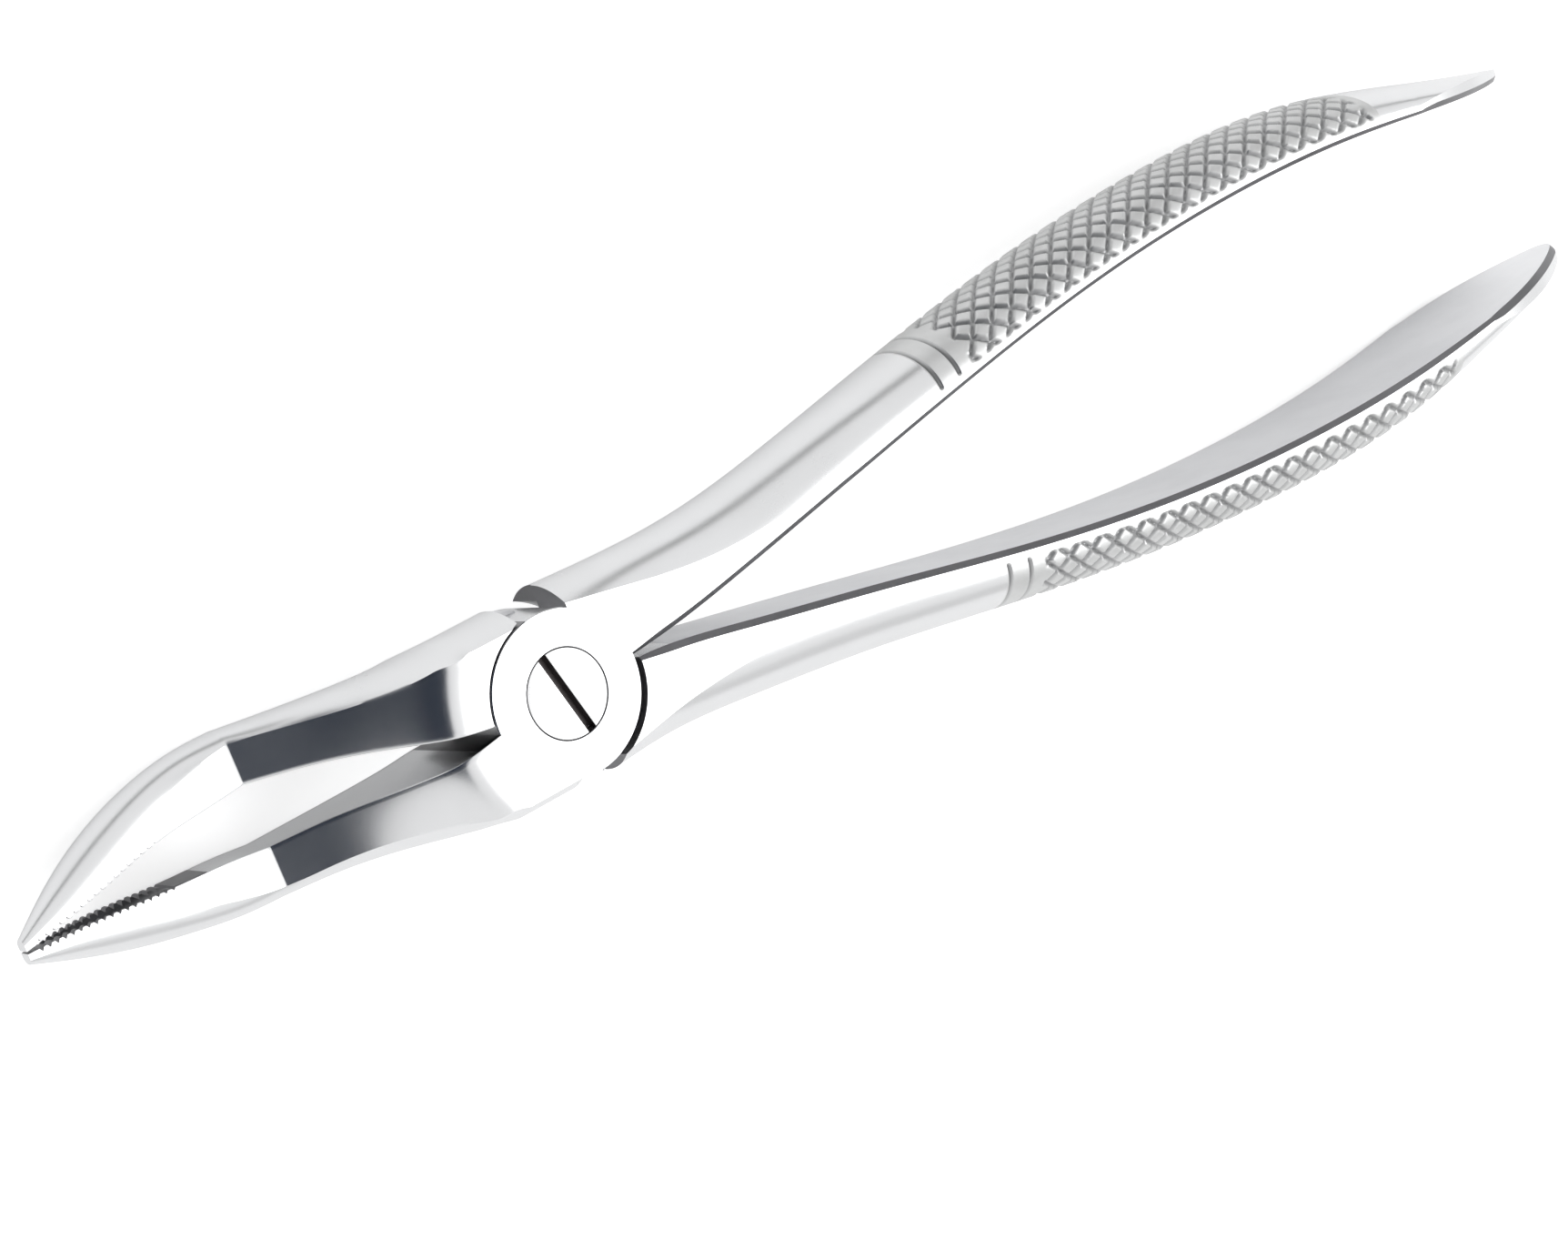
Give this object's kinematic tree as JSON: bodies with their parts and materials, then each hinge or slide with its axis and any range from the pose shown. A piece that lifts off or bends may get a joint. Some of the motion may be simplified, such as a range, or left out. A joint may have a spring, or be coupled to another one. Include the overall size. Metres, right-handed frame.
{
  "type": "dental extraction forceps",
  "caption": "Bayonet root extraction forceps of polished stainless steel: two crossed halves on a slotted joint screw, cross-cut bowed handles and slim cranked beaks.",
  "frame": {"origin": "hinge axis where it meets the flat back face of the joint", "axes": "+Z along the hinge axis towards the screw head, +X along the instrument towards the handle ends, +Y towards the handle of the front half; the beaks point along -X and step down past the back face"},
  "size_m": [0.1835, 0.0361, 0.0241],
  "materials": {
    "half_steel": "polished, with satin inner faces and a cross-cut grip",
    "screw_steel": "polished"
  },
  "bodies": {
    "back": {"back_half": "half_steel", "joint_screw": "screw_steel"},
    "front": {"front_half": "half_steel"}
  },
  "joints": [
    {"name": "joint_hinge", "type": "hinge", "parent": "back", "child": "front", "pos_m": [0, 0, 0.005], "axis": [0, 0, 1], "range_deg": [0, 24]}
  ]
}
